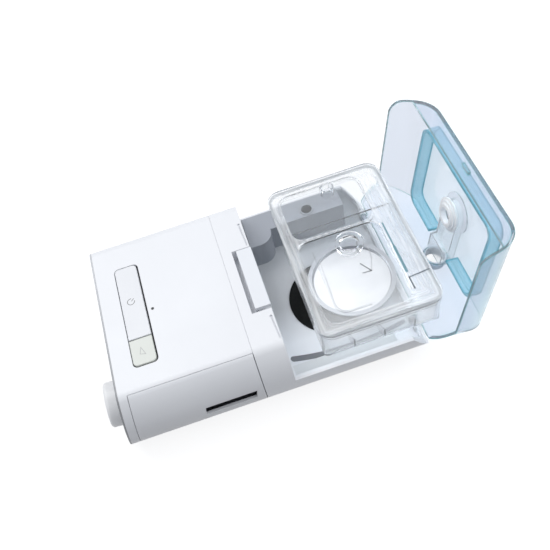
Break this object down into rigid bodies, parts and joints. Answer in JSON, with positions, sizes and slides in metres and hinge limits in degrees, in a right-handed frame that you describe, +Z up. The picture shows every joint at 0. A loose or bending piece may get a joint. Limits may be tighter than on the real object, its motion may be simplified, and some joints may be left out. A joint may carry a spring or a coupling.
{
  "type": "bilevel pap machine",
  "caption": "Breathing therapy machine with top buttons, front dial, side filter door and a heated humidifier with hinged clear lid and lift-out water tank.",
  "frame": {"origin": "on the table, in the middle of the front rubber strip of the humidifier, which is the middle of the closed base", "axes": "+X from the display end to the lid hinge, +Y towards the far side, away from the filter door, +Z up"},
  "size_m": [0.3698, 0.193, 0.1366],
  "materials": {
    "white_shell": "fine satin white",
    "button_white": "satin, slightly green white",
    "latch_white": "satin white",
    "bezel_grey": "satin dark grey",
    "chassis_grey": "satin grey",
    "dial_white": "satin white",
    "screen_glass": "smoked gloss",
    "liner_grey": "satin mid grey",
    "heater_black": "matt black coat",
    "clear_tank": "clear gloss",
    "tank_steel": "brushed steel",
    "lid_clear": "clear pale blue gloss",
    "lid_blue": "clear blue gloss",
    "duct_clear": "clear gloss",
    "port_grey": "satin pale grey",
    "seal_white": "white silicone",
    "gasket_clear": "pale silicone",
    "dark_plastic": "matt black",
    "inner_plastic": "satin grey",
    "filter_foam": "open grey foam",
    "board_green": "solder mask",
    "motor_metal": "bare metal",
    "steel_pins": "bare steel",
    "dark_rubber": "matt rubber",
    "insulator": "pressed fibre"
  },
  "bodies": {
    "base": {"unit_cover": "white_shell", "humidifier_shell": "white_shell", "front_bezel": "bezel_grey", "unit_rear_panel": "bezel_grey", "unit_chassis": "chassis_grey", "humidifier_bottom": "chassis_grey", "display_window": "screen_glass", "humidifier_tub": "liner_grey", "dry_box": "liner_grey", "dry_box_cover": "liner_grey", "heater_plate": "heater_black", "inlet_tube": "port_grey", "dry_box_seal": "seal_white", "blower_seal": "seal_white", "button_tray": "dark_plastic", "light_sensor": "dark_plastic", "power_socket": "dark_plastic", "display_module": "dark_plastic", "side_frame": "inner_plastic", "blower_housing_lower": "inner_plastic", "blower_housing_upper": "inner_plastic", "air_filter": "filter_foam", "main_board": "board_green", "button_switch_board": "board_green", "blower_motor": "motor_metal", "dial_encoder": "motor_metal", "side_door_pins": "steel_pins", "lid_latch_pin": "steel_pins", "lid_hinge_pins": "steel_pins", "unit_screws": "steel_pins", "humidifier_screws": "steel_pins", "unit_feet": "dark_rubber", "humidifier_feet": "dark_rubber", "blower_mounts": "dark_rubber", "heater_insulator": "insulator"},
    "dial": {"control_dial": "dial_white"},
    "power_button": {"power_button": "white_shell"},
    "ramp_button": {"ramp_button": "button_white"},
    "side_door": {"side_door": "white_shell"},
    "impeller": {"impeller": "inner_plastic"},
    "latch": {"lid_latch": "latch_white"},
    "lid": {"lid": "lid_clear", "lid_frame": "lid_blue", "lid_duct": "duct_clear", "outlet_port": "port_grey", "lid_seal": "seal_white"},
    "tank": {"water_tank": "clear_tank", "tank_plate": "tank_steel", "tank_plate_gasket": "gasket_clear"},
    "tank_cover": {"tank_cover": "clear_tank", "tank_cover_gasket": "gasket_clear"}
  },
  "joints": [
    {"name": "dial_turn", "type": "hinge", "parent": "base", "child": "dial", "pos_m": [-0.13556, -0.062, 0.046], "axis": [-0.9895, 0, 0.1448], "continuous": true},
    {"name": "power_button_press", "type": "slide", "parent": "base", "child": "power_button", "axis": [0, 0, -1], "range_m": [0, 0.0008], "stiffness_N_per_m": 1500, "springref_m": -0.0008},
    {"name": "ramp_button_press", "type": "slide", "parent": "base", "child": "ramp_button", "axis": [0, 0, -1], "range_m": [0, 0.0008], "stiffness_N_per_m": 1500, "springref_m": -0.0008},
    {"name": "side_door_hinge", "type": "hinge", "parent": "base", "child": "side_door", "pos_m": [-0.07, -0.08904, 0.0195], "axis": [1, 0, 0], "range_deg": [0, 70]},
    {"name": "impeller_spin", "type": "hinge", "parent": "base", "child": "impeller", "pos_m": [-0.078, 0.035, 0.03], "axis": [0, 0, 1], "continuous": true},
    {"name": "latch_hinge", "type": "hinge", "parent": "base", "child": "latch", "pos_m": [0.0055, 0, 0.0794], "axis": [0, -1, 0], "range_deg": [0, 25], "stiffness_Nm_per_rad": 0.05, "springref_deg": -11.46},
    {"name": "lid_hinge", "type": "hinge", "parent": "base", "child": "lid", "pos_m": [0.14, 0, 0.02], "axis": [0, 1, 0], "range_deg": [-98, 0]},
    {"name": "tank_lift", "type": "slide", "parent": "base", "child": "tank", "axis": [0.8803, 0, 0.4743], "range_m": [-0.02635, 0]},
    {"name": "tank_cover_lift", "type": "slide", "parent": "tank", "child": "tank_cover", "axis": [0, 0, 1], "range_m": [0, 0.06]}
  ],
  "couplings": [
    {"joint": "tank_lift", "follows": "lid_hinge", "m_per_rad": 0.015407}
  ]
}
